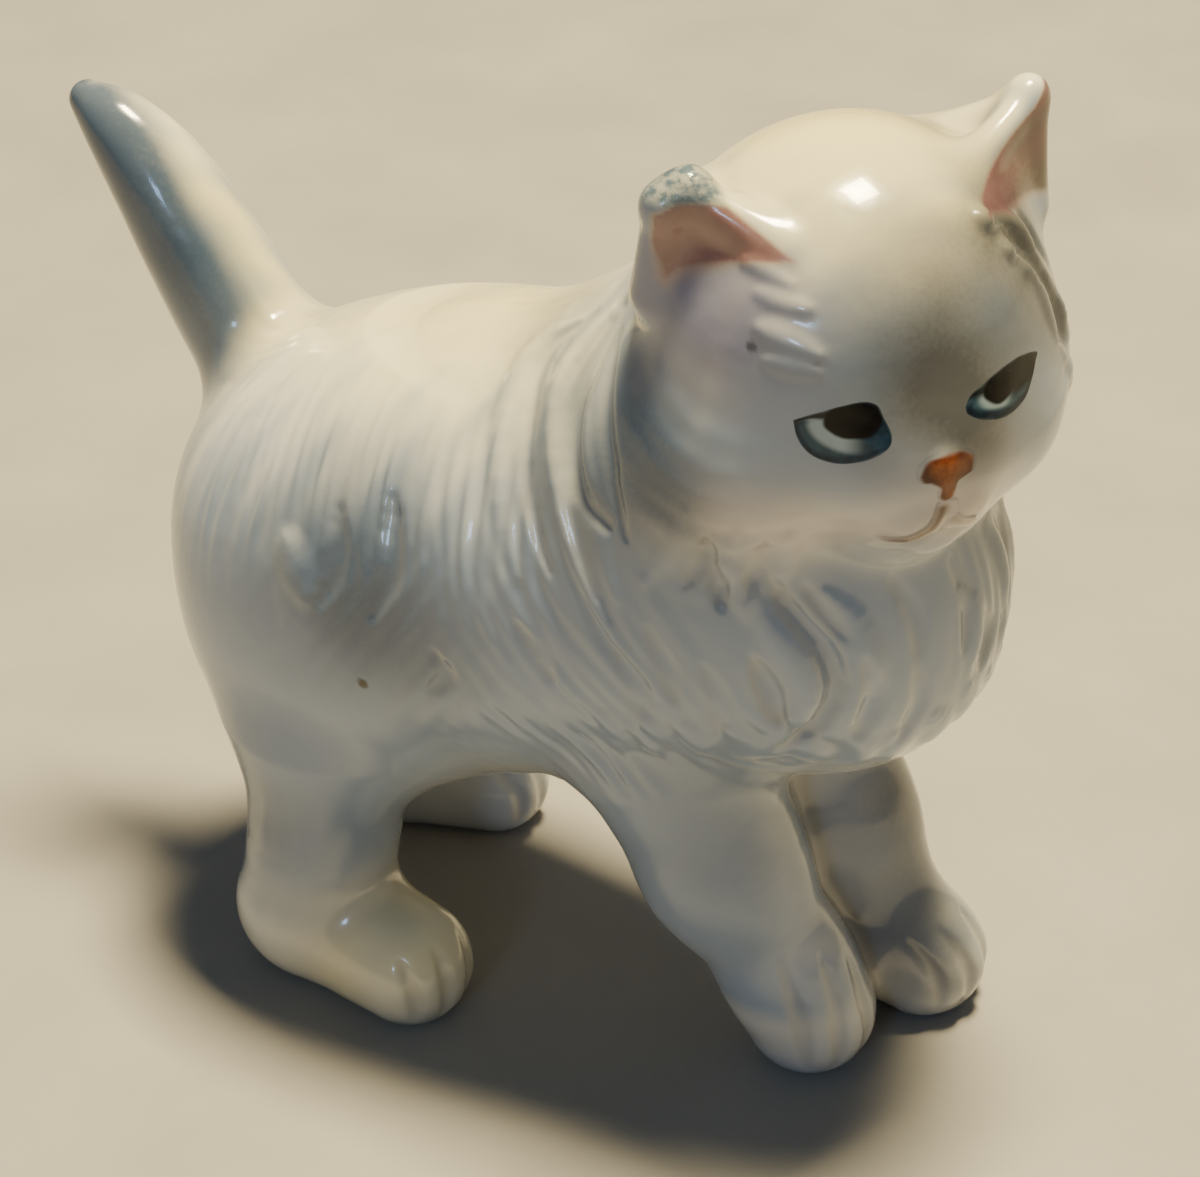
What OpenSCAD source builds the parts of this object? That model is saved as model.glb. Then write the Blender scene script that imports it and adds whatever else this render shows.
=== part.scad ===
// Glazed ceramic kitten, walking with its tail raised and its head turned to its right.
// Slip-cast body and head shells, luted together with solid legs, tail and ears,
// and raised enamel for the eyes, nose and mouth. Millimetres. +X is the way the body walks,
// +Y its left, +Z up; the table is at z = 0.

/* [Size] */
// Overall height, from the table to the tip of the left ear
height = 75; // [60:1:110]

/* [Pose] */
// How far the head is turned to the kitten's right, in degrees
head_turn = 40; // [28:1:48]
// How far the head leans, left side up, in degrees
head_lean = 4; // [0:1:8]

/* [Shell] */
// Thickness of the cast clay wall in the body and head
wall = 3; // [2:0.25:4]
// Diameter of the round passage between the body and head hollows
passage_d = 12; // [8:1:16]
// Diameter of the firing vent under the belly
vent_d = 2.6; // [2:0.2:4]

/* [Enamel] */
// Thickness of the raised enamel on the eyes, nose and mouth
enamel = 0.3; // [0.2:0.05:0.5]

/* [Smoothness] */
// Facets around the body and head
facets = 56; // [40:4:64]
// Facets around each leg, the tail and each ear
limb_facets = 30; // [20:2:36]

/* [Hidden] */

// One modelling unit: the kitten is 110.6 units tall.
u = height / 110.6;
// Where the middle of the kitten's own box lies in modelling units.
middle = [-6.66, -4.98, 0];
w = wall / u;
skin = enamel / u;
// Gap left under the enamel, so that it never cuts into the glaze.
bedding = 0.05;
far = 60;
halvings = 12;

glaze_white = [0.93, 0.92, 0.88];
enamel_dark = [0.10, 0.12, 0.14];
enamel_brown = [0.50, 0.22, 0.12];

// Masses. A ball is [blend, centre, radii]; a limb is [blend, start, end, start radius,
// end radius]; a web is [blend, corner, corner, corner, radius, 0]. All in modelling units.
torso_masses = [
    [1, [-22, -5, 48.5], [25, 23.5, 24.5]],
    [10, [-8, -5, 53.5], [24, 23.5, 25.5]],
    [10, [8, -6, 57], [22, 22, 24]],
    [9, [24, -3, 59], [22, 23, 22.5]],
    [6, [32, -1, 51], [12, 15, 13]],
    [8, [18, -5, 72], [27, -5, 84], 20, 18],
];
thigh_masses = [
    [6, [-23, -15, 39.5], [16.5, 11.5, 17.5]],
    [6, [-26, 7, 39.5], [17, 11.5, 17.5]],
];
front_right_masses = [
    [5, [16, -13.5, 38], [21.5, -12.5, 24], 10.5, 8.2],
    [4, [21.5, -12.5, 24], [28.5, -10.5, 11.5], 8.2, 6.6],
    [4, [28.5, -10.5, 11], [30.5, -9, 5.5], 6.6, 7.2],
];
front_left_masses = [
    [5, [21, 5, 38], [28, 4.5, 22], 9, 7],
    [4, [28, 4.5, 22], [34, 4.5, 10], 7, 6.2],
    [4, [34, 4.5, 7], [37.5, 5.5, 5.5], 6.6, 7],
];
hind_right_masses = [
    [4, [-23.5, -18, 31], [-24, -19.5, 17], 11, 7.4],
    [4, [-24, -19.5, 17], [-26.5, -20, 8], 7.4, 7.6],
    [4, [-24, -20, 6.5], [-12, -22, 5], 7.6, 7],
];
hind_left_masses = [
    [5, [-28, 8, 30], [-32, 9, 14], 11, 7.8],
    [4, [-32, 9, 14], [-33.5, 9, 8], 7.8, 7.4],
    [4, [-32, 9, 6.5], [-20.5, 12.5, 5], 7.4, 6.3],
];
tail_masses = [
    [5, [-36, 0, 56], [-48, 0, 73.5], 7.5, 6.6],
    [1.5, [-48, 0, 73.5], [-54, 0, 82], 6.6, 5.7],
    [1.5, [-54, 0, 82], [-61.5, 0, 88.5], 5.7, 3.2],
];
// Head masses are in the head's own frame: forward, left, up from its centre.
head_masses = [
    [4, [0, 0, 0], [19.5, 20.5, 21]],
    [6, [13.5, 0, -6.5], [8, 10, 7.5]],
    [4, [13, 0, -12.5], [6, 7, 5]],
    [6, [0, -14, -9], [14, 10, 10]],
    [6, [2, 11, -8], [13, 8.8, 10]],
];
ear_right_masses = [
    [4, [5, -9.5, 13], [-2, -19, 8], [0, -17.5, 18], 1.4, 0],
    [2, [7.5, -9.5, 14.5], [0.5, -16, 19.3], 2, 1.8],
    [2, [-1.5, -19.5, 8], [0, -18.7, 18], 2, 1.6],
    [2, [0.5, -16, 19.3], [0, -18.7, 18], 1.8, 1.6],
    [3, [-6, -13, 12], [-0.5, -16.5, 17.5], 4.2, 1.5],
];
ear_left_masses = [
    [4, [5, 9.5, 13], [-2, 19, 8], [-1.5, 20.5, 18.5], 1.4, 0],
    [2, [7.5, 9.5, 14.5], [-1.5, 20.7, 19.5], 2, 1],
    [2, [-1.5, 19.5, 8], [-1.5, 20.7, 19.5], 2, 1],
    [3, [-6, 13, 12], [-2, 20, 18.5], 4.2, 1],
];

// Centre and axes of the head.
head_centre = [30, -5, 88];
head_f = [cos(head_turn), -sin(head_turn), 0];
level_l = [sin(head_turn), cos(head_turn), 0];
head_l = level_l * cos(head_lean) + [0, 0, 1] * sin(head_lean);
head_u = [0, 0, 1] * cos(head_lean) - level_l * sin(head_lean);

// Butt joints: points on the planes and their outward normals.
neck_lean = 18;
neck_point = [27, -5, 72.5];
neck_normal = head_f * sin(neck_lean) + [0, 0, 1] * cos(neck_lean);
tail_point = [-45, 0, 67.5];
tail_normal = [-0.52, 0, 0.854];

function unit(v) = v / norm(v);
function to_head(p) = let (d = p - head_centre) [d * head_f, d * head_l, d * head_u];
function from_head(q) = head_centre + q.x * head_f + q.y * head_l + q.z * head_u;
function turn_to_head(q) = q.x * head_f + q.y * head_l + q.z * head_u;

// Distance from a point to one mass, and to a smoothly blended list of them.
function clamp01(t) = min(max(t, 0), 1);
function ball(p, c, r) =
    let (q = [(p.x - c.x) / r.x, (p.y - c.y) / r.y, (p.z - c.z) / r.z],
        k = norm(q))
    k * (k - 1) / max(norm([q.x / r.x, q.y / r.y, q.z / r.z]), 0.000001);
function limb(p, a, b, ra, rb) =
    let (d = b - a, t = clamp01((p - a) * d / (d * d)))
    norm(p - a - t * d) - ra - (rb - ra) * t;
function web(p, a, b, c, r) =
    let (n = cross(b - a, a - c),
        inside = cross(b - a, n) * (p - a) > 0
            && cross(c - b, n) * (p - b) > 0
            && cross(a - c, n) * (p - c) > 0)
    inside ? abs(n * (p - a)) / norm(n) - r
        : min(limb(p, a, b, r, r), limb(p, b, c, r, r), limb(p, c, a, r, r));
function mass(p, m) =
    len(m) == 3 ? ball(p, m[1], m[2])
    : len(m) == 5 ? limb(p, m[1], m[2], m[3], m[4])
    : web(p, m[1], m[2], m[3], m[4]);
function melt(a, b, k) = let (h = max(k - abs(a - b), 0)) min(a, b) - h * h / (4 * k);
function melted(p, masses, i, d) =
    i == len(masses) ? d : melted(p, masses, i + 1, melt(d, mass(p, masses[i]), masses[i][0]));

// A form is [body masses, head-frame masses, how much it is shrunk].
function form(f, p) = f[2] + melted(to_head(p), f[1], 0, melted(p, f[0], 0, far));
function cross_at(f, o, d, a, b, n) =
    n == 0 ? (a + b) / 2
    : form(f, o + d * (a + b) / 2) < 0 ? cross_at(f, o, d, (a + b) / 2, b, n - 1)
    : cross_at(f, o, d, a, (a + b) / 2, n - 1);
function cast(f, o, d, reach) = o + d * cross_at(f, o, d, 0, reach, halvings);

body_form = [concat(torso_masses, thigh_masses), [], 0];
body_hollow_form = [torso_masses, [], w];
neck_form = [torso_masses, head_masses, 0];
face_form = [[], head_masses, 0];
head_hollow_form = [[], [head_masses[0]], w];

// Closed skin from rows of points, each row a ring; the ends are flat faces or single points.
function ring_faces(rows, n) = [
    for (i = [0 : rows - 2])
        for (j = [0 : n - 1])
            let (a = i * n + j, b = i * n + (j + 1) % n)
            each [[a, b + n, b], [a, a + n, b + n]]
];
function start_pole(n, k) = [for (j = [0 : n - 1]) [k, j, (j + 1) % n]];
function end_pole(rows, n, k) =
    let (s = (rows - 1) * n) [for (j = [0 : n - 1]) [k, s + (j + 1) % n, s + j]];
module skin_of(rings, start = [], end = []) {
    n = len(rings[0]);
    rows = len(rings);
    start_at = rows * n;
    end_at = start_at + (start == [] ? 0 : 1);
    polyhedron(
        points = concat([for (r = rings) each r], start == [] ? [] : [start], end == [] ? [] : [end]),
        faces = concat(
            ring_faces(rows, n),
            start == [] ? [[for (j = [0 : n - 1]) j]] : start_pole(n, start_at),
            end == [] ? [[for (j = [n - 1 : -1 : 0]) (rows - 1) * n + j]] : end_pole(rows, n, end_at)),
        convexity = 8);
}

// Ring of points where rays meet the form; lift is the rays' angle towards the axis.
function ring(f, o, axis, side, lift, n, reach) =
    let (e1 = unit(side - axis * (side * axis)), e2 = cross(axis, e1))
    [for (j = [0 : n - 1])
        let (a = 360 * j / n)
        cast(f, o, (e1 * cos(a) + e2 * sin(a)) * cos(lift) + axis * sin(lift), reach)];
// Rings closing over the far end of a form, from level to just short of the pole.
function dome(f, o, axis, side, n, rows, reach) =
    [for (i = [0 : rows - 1]) ring(f, o, axis, side, 90 * i / rows, n, reach)];
function stack(f, a, b, axis, side, n, rows, reach) =
    [for (i = [0 : rows - 1]) ring(f, a + (b - a) * i / rows, axis, side, 0, n, reach)];

// Moves the parts from modelling units to millimetres about the middle of the kitten's box.
module place() {
    scale(u) translate(-middle) children();
}
// Takes the children as one finished mesh.
module as_mesh() {
    resize([0, 0, 0]) children();
}
// Everything on the outward side of a plane.
module beyond(point, normal, size) {
    translate(point)
        rotate([0, acos(normal.z), atan2(normal.y, normal.x)])
            translate([-size / 2, -size / 2, 0])
                cube([size, size, size]);
}

// ---- legs ----
// Each leg is [masses, height of its root plane, height of its stub, spine x by height, spine y].
LEG_FRONT_RIGHT = [front_right_masses, 28, 19,
    [[0, 29.5], [6, 29.5], [12, 28], [24, 21.5], [38, 16]],
    [[0, -9.6], [12, -10.8], [24, -12.5], [38, -13.5]]];
LEG_FRONT_LEFT = [front_left_masses, 28, 17,
    [[0, 36], [6, 36], [12, 33], [22, 28], [38, 21]],
    [[0, 5], [38, 5]]];
LEG_HIND_RIGHT = [hind_right_masses, 21, 12,
    [[0, -18], [6, -18], [12, -22.5], [16, -24.2], [31, -23.5]],
    [[0, -21], [12, -20], [31, -18]]];
LEG_HIND_LEFT = [hind_left_masses, 21, 12,
    [[0, -26], [6, -26.5], [12, -30.5], [16, -32], [31, -28]],
    [[0, 10.6], [12, 9.2], [31, 8]]];
LEGS = [LEG_FRONT_RIGHT, LEG_FRONT_LEFT, LEG_HIND_RIGHT, LEG_HIND_LEFT];
// Heights of the rings up a leg, as fractions of the way from sole to root.
leg_rings = [0, 0.03, 0.08, 0.14, 0.2, 0.26, 0.32, 0.38, 0.43, 0.48, 0.53, 0.59, 0.66, 0.74, 0.83, 0.92, 1];
// Rings of the stub a leg joins on to, as [share of the stub's height, how far it draws in].
stub_rings = [[-0.12, 0], [0, 0], [0.2, 0], [0.4, 0.2], [0.6, 0.6], [0.8, 1.4], [1, 2.6]];

function leg_ring(g, z, reach, shrink = 0) =
    ring([concat(torso_masses, thigh_masses, g[0]), [], shrink],
        [lookup(z, g[3]), lookup(z, g[4]), z], [0, 0, 1], [1, 0, 0], 0, limb_facets, reach);
module leg(g) {
    color(glaze_white) place() skin_of([for (t = leg_rings) leg_ring(g, t * g[1], 20)]);
}
module leg_stub(g) {
    skin_of([for (r = stub_rings) leg_ring(g, g[1] + r[0] * g[2], 13, r[1])]);
}

// ---- body and head shells ----
body_start = [-25, -5, 47];
body_end = [20, -4, 57];
body_rows = 16;
cap_rows = 10;
neck_reach = 34;
vent_at = [-7, -5];

module capsule(f, n, rows, caps) {
    axis = unit(body_end - body_start);
    up = [0, 0, 1];
    start_cap = dome(f, body_start, -axis, up, n, caps, 45);
    skin_of(
        concat(
            [for (i = [caps - 1 : -1 : 1]) [for (j = [0 : n - 1]) start_cap[i][(n - j) % n]]],
            stack(f, body_start, body_end, axis, up, n, rows, 45),
            dome(f, body_end, axis, up, n, caps, 45)),
        cast(f, body_start, -axis, 45),
        cast(f, body_end, axis, 45));
}
function neck_ring(i, shrink = 0) =
    ring([neck_form[0], neck_form[1], shrink],
        neck_foot + neck_normal * i, neck_normal, head_f, 0, facets, neck_reach);
neck_foot = head_centre - neck_normal * ((head_centre - neck_point) * neck_normal);
neck_rise = (head_centre - neck_point) * neck_normal;
module passage() {
    translate(neck_foot)
        rotate([0, acos(neck_normal.z), atan2(neck_normal.y, neck_normal.x)])
            cylinder(d = passage_d / u, h = 40, center = true, $fn = limb_facets);
}
// Stubs below the neck and tail planes, as [distance along the normal, how far it draws in].
neck_stub = [[-6, 2.4], [-3, 0.6], [0, 0], [1.5, 0]];
tail_stub = [[-12, 3], [-7, 1], [-3, 0.2], [0, 0], [1.5, 0]];
function tail_ring(i, shrink) =
    ring([tail_form[0], [], shrink],
        tail_point + tail_normal * i, tail_normal, [0, 1, 0], 0, limb_facets, 14);
tail_form = [concat([torso_masses[0], torso_masses[1]], tail_masses), [], 0];
module torso() {
    color(glaze_white) place() difference() {
        as_mesh() difference() {
            union() {
                capsule(body_form, facets, body_rows, cap_rows);
                for (g = LEGS) leg_stub(g);
                skin_of([for (r = tail_stub) tail_ring(r[0], r[1])]);
                skin_of([for (r = neck_stub) neck_ring(r[0], r[1])]);
            }
            translate([-60, -45, LEG_HIND_RIGHT[1] - 40]) cube([54, 80, 40]);
            translate([0, -45, LEG_FRONT_RIGHT[1] - 40]) cube([60, 80, 40]);
            beyond(neck_point, neck_normal, 90);
            beyond(tail_point, tail_normal, 40);
            capsule(body_hollow_form, facets / 2, body_rows / 2, cap_rows / 2);
            passage();
        }
        translate([vent_at.x, vent_at.y, 0]) cylinder(d = vent_d / u, h = 40, $fn = 48);
    }
}
module head() {
    color(glaze_white) place() as_mesh() difference() {
        union() {
            skin_of(
                concat(
                    [for (i = [0 : 4]) neck_ring(neck_rise * i / 5)],
                    dome(face_form, head_centre, neck_normal, head_f, facets, 16, 32)),
                [],
                cast(face_form, head_centre, neck_normal, 32));
            ear_stub(EAR_RIGHT);
            ear_stub(EAR_LEFT);
        }
        beyond(ear_point(EAR_RIGHT), ear_normal(EAR_RIGHT), 26);
        beyond(ear_point(EAR_LEFT), ear_normal(EAR_LEFT), 26);
        skin_of(
            concat(
                [for (i = [1 : 4]) ring(head_hollow_form, head_centre, neck_normal, head_f,
                    -90 + 18 * i, facets / 2, 32)],
                dome(head_hollow_form, head_centre, neck_normal, head_f, facets / 2, 8, 32)),
            cast(head_hollow_form, head_centre, -neck_normal, 32),
            cast(head_hollow_form, head_centre, neck_normal, 32));
        passage();
    }
}

// ---- tail and ears ----
tail_tip = [-61.5, 0, 88.5];
module tail() {
    color(glaze_white) place() skin_of(
        concat(
            stack(tail_form, tail_point, tail_tip, tail_normal, [0, 1, 0], limb_facets, 12, 14),
            dome(tail_form, tail_tip, tail_normal, [0, 1, 0], limb_facets, 5, 10)),
        [],
        cast(tail_form, tail_tip, tail_normal, 10));
}
// Each ear is [side, masses, tip], sitting on a plane that touches the skull.
EAR_RIGHT = [-1, ear_right_masses, [0, -17.3, 18]];
EAR_LEFT = [1, ear_left_masses, [-1.8, 20.4, 19.2]];
ear_slant = 40;
function ear_point(e) = from_head([-0.5, e[0] * 14.5, 13.3]);
function ear_normal(e) = turn_to_head([0, e[0] * sin(ear_slant), cos(ear_slant)]);
function ear_form(e, shrink = 0) = [[], concat([head_masses[0]], e[1]), shrink];
module ear_stub(e) {
    skin_of([for (r = [[-4, 1.6], [-2, 0.6], [0, 0], [1, 0]])
        ring(ear_form(e, r[1]), ear_point(e) + ear_normal(e) * r[0], ear_normal(e), head_f, 0,
            limb_facets, 11)]);
}
module ear(e) {
    f = ear_form(e);
    top = from_head(e[2]);
    color(glaze_white) place() skin_of(
        concat(
            stack(f, ear_point(e), top, ear_normal(e), head_f, limb_facets, 8, 16),
            dome(f, top, ear_normal(e), head_f, limb_facets, 4, 8)),
        [],
        cast(f, top, ear_normal(e), 8));
}

// ---- raised enamel ----
// A point on the face, out along the ray through (left, up) on a plane ahead of the head's centre.
function on_face(q, lift) =
    let (d = turn_to_head(unit([18, q.x, q.y]))) cast(face_form, head_centre, d, 32) + d * lift;
module enamel_patch(outlines, centre) {
    skin_of(
        concat(
            [for (o = outlines) [for (q = o) on_face(q, bedding)]],
            [for (k = [1 : len(outlines)]) [for (q = outlines[len(outlines) - k]) on_face(q, skin)]]),
        on_face(centre, bedding),
        on_face(centre, skin));
}
// Almond round a centre: half width, half height, and how far the outer corner is raised.
function almond(c, half, rise, side, k, n) = [for (j = [0 : n - 1])
    let (t = 360 * j / n, x = half.x * cos(t))
    c + k * [x, half.y * sin(t) * (1 - 0.25 * abs(cos(t))) + rise * side * x / half.x]];
eye_across = 8.6;
eye_up = 0.3;
eye_half = [4.4, 3];
eye_rise = 1.2;
eye_rounds = [0.35, 0.7, 1];
module eye(side) {
    c = [side * eye_across, eye_up];
    color(enamel_dark) place() enamel_patch(
        [for (k = eye_rounds) almond(c, eye_half, eye_rise, side, k, 28)], c);
}
nose_at = [0, -3.5];
nose_half = [2.3, 2.2];
module nose() {
    color(enamel_brown) place() enamel_patch(
        [for (k = [0.5, 1]) [for (j = [0 : 23])
            let (t = 15 * j)
            nose_at + k * [nose_half.x * cos(t) * (1 + 0.45 * sin(t)), nose_half.y * sin(t)]]],
        nose_at);
}
// The mouth is one ribbon from corner to corner, dipping each side of the middle.
mouth_half = 4.6;
mouth_up = -8.2;
mouth_dip = 3.4;
mouth_width = 0.7;
mouth_steps = 20;
function mouth_line(t) = [mouth_half * t, mouth_up - mouth_dip * pow(abs(t), 0.8)];
module mouth() {
    color(enamel_brown) place() skin_of([for (i = [-mouth_steps / 2 : mouth_steps / 2])
        let (q = mouth_line(2 * i / mouth_steps), b = [0, mouth_width / 2])
        [on_face(q - b, bedding), on_face(q + b, bedding), on_face(q + b, skin), on_face(q - b, skin)]]);
}

module leg_front_right() {
    leg(LEG_FRONT_RIGHT);
}
module leg_front_left() {
    leg(LEG_FRONT_LEFT);
}
module leg_hind_right() {
    leg(LEG_HIND_RIGHT);
}
module leg_hind_left() {
    leg(LEG_HIND_LEFT);
}
module ear_right() {
    ear(EAR_RIGHT);
}
module ear_left() {
    ear(EAR_LEFT);
}
module eye_right() {
    eye(-1);
}
module eye_left() {
    eye(1);
}

torso();
head();
ear_right();
ear_left();
tail();
leg_front_right();
leg_front_left();
leg_hind_right();
leg_hind_left();
eye_right();
eye_left();
nose();
mouth();
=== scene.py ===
"""Glazed ceramic kitten: the looks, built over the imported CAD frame. Metres, in the row frame."""

import math

import bpy
import numpy as np
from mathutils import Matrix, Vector


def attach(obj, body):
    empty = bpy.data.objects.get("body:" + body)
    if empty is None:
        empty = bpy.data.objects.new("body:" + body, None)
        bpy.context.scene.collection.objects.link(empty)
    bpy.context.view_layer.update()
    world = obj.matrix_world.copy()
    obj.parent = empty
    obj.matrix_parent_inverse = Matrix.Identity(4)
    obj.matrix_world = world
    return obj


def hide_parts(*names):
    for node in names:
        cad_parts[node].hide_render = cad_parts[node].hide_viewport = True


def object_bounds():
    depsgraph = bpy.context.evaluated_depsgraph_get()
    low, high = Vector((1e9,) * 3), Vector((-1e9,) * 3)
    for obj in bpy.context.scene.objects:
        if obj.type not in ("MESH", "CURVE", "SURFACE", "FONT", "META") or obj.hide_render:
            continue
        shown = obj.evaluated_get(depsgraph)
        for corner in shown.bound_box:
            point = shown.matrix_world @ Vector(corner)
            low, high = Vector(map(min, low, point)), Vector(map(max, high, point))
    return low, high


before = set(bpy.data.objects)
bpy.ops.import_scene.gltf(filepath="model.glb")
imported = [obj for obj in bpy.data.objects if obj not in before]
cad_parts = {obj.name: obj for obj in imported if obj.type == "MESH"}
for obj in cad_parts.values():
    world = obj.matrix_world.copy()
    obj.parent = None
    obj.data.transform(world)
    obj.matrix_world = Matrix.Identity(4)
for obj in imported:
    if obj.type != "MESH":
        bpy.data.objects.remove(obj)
cad_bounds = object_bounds()

# ---------------------------------------------------------------- units and frames
# The kitten is modelled in units of its own, as the CAD is. MIDDLE is where the frame's origin lies.
UNITS_TALL = 110.6
U = (cad_bounds[1][2] - cad_bounds[0][2]) / UNITS_TALL
MIDDLE = np.array([-6.66, -4.98, 0.0])
VOXEL = 0.36
CLAY_LOW, CLAY_HIGH = [-70, -36, -6], [57, 26, 116]
HEAD_TURN = 40.0
HEAD_LEAN = 4.0
HEAD_CENTRE = np.array([30.0, -5.0, 88.0])


def place(points):
    """Modelling units to metres in the row frame."""
    return (np.asarray(points, float) - MIDDLE) * U


def unplace(points):
    """Metres in the row frame to modelling units."""
    return np.asarray(points, float) / U + MIDDLE


def head_axes():
    """The head's own forward, left and crown directions, as rows."""
    turn, lean = math.radians(HEAD_TURN), math.radians(HEAD_LEAN)
    forward = np.array([math.cos(turn), -math.sin(turn), 0.0])
    level = np.array([math.sin(turn), math.cos(turn), 0.0])
    up = np.array([0.0, 0.0, 1.0])
    left = level * math.cos(lean) + up * math.sin(lean)
    crown = up * math.cos(lean) - level * math.sin(lean)
    return np.array([forward, left, crown])


HEAD = head_axes()


def from_head(q):
    return HEAD_CENTRE + np.asarray(q, float) @ HEAD


def to_head(p):
    return (np.asarray(p, float) - HEAD_CENTRE) @ HEAD.T


def turn_to_head(q):
    return np.asarray(q, float) @ HEAD


# ---------------------------------------------------------------- camera
VIEW_AZIMUTH, VIEW_ELEVATION = math.radians(28), math.radians(33)
VIEW_AIM = [0, 0, 45]
VIEW_DISTANCE = 420.0
SENSOR_WIDTH, FOCAL_LENGTH = 36, 117.18

scene = bpy.context.scene
camera_data = bpy.data.cameras.new("camera")
camera = bpy.data.objects.new("camera", camera_data)
scene.collection.objects.link(camera)
scene.camera = camera
back = Vector((
    math.sin(VIEW_AZIMUTH) * math.cos(VIEW_ELEVATION),
    -math.cos(VIEW_AZIMUTH) * math.cos(VIEW_ELEVATION),
    math.sin(VIEW_ELEVATION),
))
camera.location = Vector(place(VIEW_AIM)) + back * VIEW_DISTANCE * U
camera.rotation_mode = "QUATERNION"
camera.rotation_quaternion = (-back).to_track_quat("-Z", "Y")
camera_data.sensor_width = SENSOR_WIDTH
camera_data.lens = FOCAL_LENGTH
camera_data.clip_start = 0.01
camera_data.clip_end = 20

# ---------------------------------------------------------------- the clay masses
# A ball is [blend, centre, radii]; a limb is [blend, start, end, start radius, end radius];
# a web is [blend, corner, corner, corner, radius, 0]. The head's and ears' are in the head's axes.
# They follow the CAD model's masses; the tail's spine is finer here and the left ear thinner.
TORSO = [
    [1, [-22, -5, 48.5], [25, 23.5, 24.5]],
    [10, [-8, -5, 53.5], [24, 23.5, 25.5]],
    [10, [8, -6, 57], [22, 22, 24]],
    [9, [24, -3, 59], [22, 23, 22.5]],
    [6, [32, -1, 51], [12, 15, 13]],
    [8, [18, -5, 72], [27, -5, 84], 20, 18],
]
THIGHS = [
    [6, [-23, -15, 39.5], [16.5, 11.5, 17.5]],
    [6, [-26, 7, 39.5], [17, 11.5, 17.5]],
]
LEGS = {
    "leg_front_right": [
        [5, [16, -13.5, 38], [21.5, -12.5, 24], 10.5, 8.2],
        [4, [21.5, -12.5, 24], [28.5, -10.5, 11.5], 8.2, 6.6],
        [4, [28.5, -10.5, 11], [30.5, -9, 5.5], 6.6, 7.2],
    ],
    "leg_front_left": [
        [5, [21, 5, 38], [28, 4.5, 22], 9, 7],
        [4, [28, 4.5, 22], [34, 4.5, 10], 7, 6.2],
        [4, [34, 4.5, 7], [37.5, 5.5, 5.5], 6.6, 7],
    ],
    "leg_hind_right": [
        [4, [-23.5, -18, 31], [-24, -19.5, 17], 11, 7.4],
        [4, [-24, -19.5, 17], [-26.5, -20, 8], 7.4, 7.6],
        [4, [-24, -20, 6.5], [-12, -22, 5], 7.6, 7],
    ],
    "leg_hind_left": [
        [5, [-28, 8, 30], [-32, 9, 14], 11, 7.8],
        [4, [-32, 9, 14], [-33.5, 9, 8], 7.8, 7.4],
        [4, [-32, 9, 6.5], [-20.5, 12.5, 5], 7.4, 6.3],
    ],
}
# The tail's spine as [x, y, z, radius], root to tip.
TAIL_SPINE = [
    [-36, 0, 56, 7.6],
    [-43, 0, 65.6, 7.1],
    [-48.6, 0, 74.2, 6.5],
    [-53.4, 0, 81.2, 5.6],
    [-58.2, 0, 86.2, 4.1],
    [-62.4, 0, 88.9, 2.1],
]
TAIL_LINKS, TAIL_BLEND = 79, 5
HEAD_MASSES = [
    [4, [0, 0, 0], [19.5, 20.5, 21]],
    [6, [13.5, 0, -6.5], [8, 10, 7.5]],
    [4, [13, 0, -12.5], [6, 7, 5]],
    [6, [0, -14, -9], [14, 10, 10]],
    [6, [2, 11, -8], [13, 8.8, 10]],
]
EARS = {
    "ear_right": [
        [4, [5, -9.5, 13], [-2, -19, 8], [0, -17.5, 18], 1.4, 0],
        [2, [7.5, -9.5, 14.5], [0.5, -16, 19.3], 2, 1.8],
        [2, [-1.5, -19.5, 8], [0, -18.7, 18], 2, 1.6],
        [2, [0.5, -16, 19.3], [0, -18.7, 18], 1.8, 1.6],
        [3, [-6, -13, 12], [-0.5, -16.5, 17.5], 4.2, 1.5],
    ],
    "ear_left": [
        [4, [5.5, 7.4, 13], [1, 19, 8.5], [-1, 20.5, 18.5], 1.4, 0],
        [2, [6, 7.6, 14.4], [-1.2, 20.6, 19.4], 1.6, 1],
        [2, [0, 19.8, 8.5], [-1.2, 20.6, 19.4], 1.6, 1],
        [3, [-6, 13, 12], [-2, 20, 18.5], 4.2, 1],
    ],
}


# ---------------------------------------------------------------- sculpting engine
CUBE = [(x, y, z) for x in (0, 1) for y in (0, 1) for z in (0, 1)]


def melt(a, b, k):
    """Smooth union of two distances."""
    h = np.maximum(k - np.abs(a - b), 0)
    return np.minimum(a, b) - h * h / (4 * k)


def ball(p, c, r, axes=None):
    q = [p[i] - c[i] for i in range(3)]
    if axes is not None:
        q = [sum(axes[j, i] * q[i] for i in range(3)) for j in range(3)]
    k = np.sqrt(sum((q[i] / r[i]) ** 2 for i in range(3)))
    return k * (k - 1) / np.maximum(np.sqrt(sum((q[i] / r[i] ** 2) ** 2 for i in range(3))), 1e-6)


def limb(p, a, b, ra, rb):
    d = b - a
    q = [p[i] - a[i] for i in range(3)]
    t = np.clip(sum(q[i] * d[i] for i in range(3)) / max(d @ d, 1e-9), 0, 1)
    return np.sqrt(sum((q[i] - t * d[i]) ** 2 for i in range(3))) - ra - (rb - ra) * t


def web(p, a, b, c, r):
    n = np.cross(b - a, a - c)
    inside = np.ones(np.shape(p[0]), bool)
    for start, end in ((a, b), (b, c), (c, a)):
        side = np.cross(end - start, n)
        inside &= sum(side[i] * (p[i] - start[i]) for i in range(3)) > 0
    flat = np.abs(sum(n[i] * (p[i] - a[i]) for i in range(3))) / np.linalg.norm(n) - r
    edges = np.minimum(np.minimum(limb(p, a, b, r, r), limb(p, b, c, r, r)), limb(p, c, a, r, r))
    return np.where(inside, flat, edges)


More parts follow.
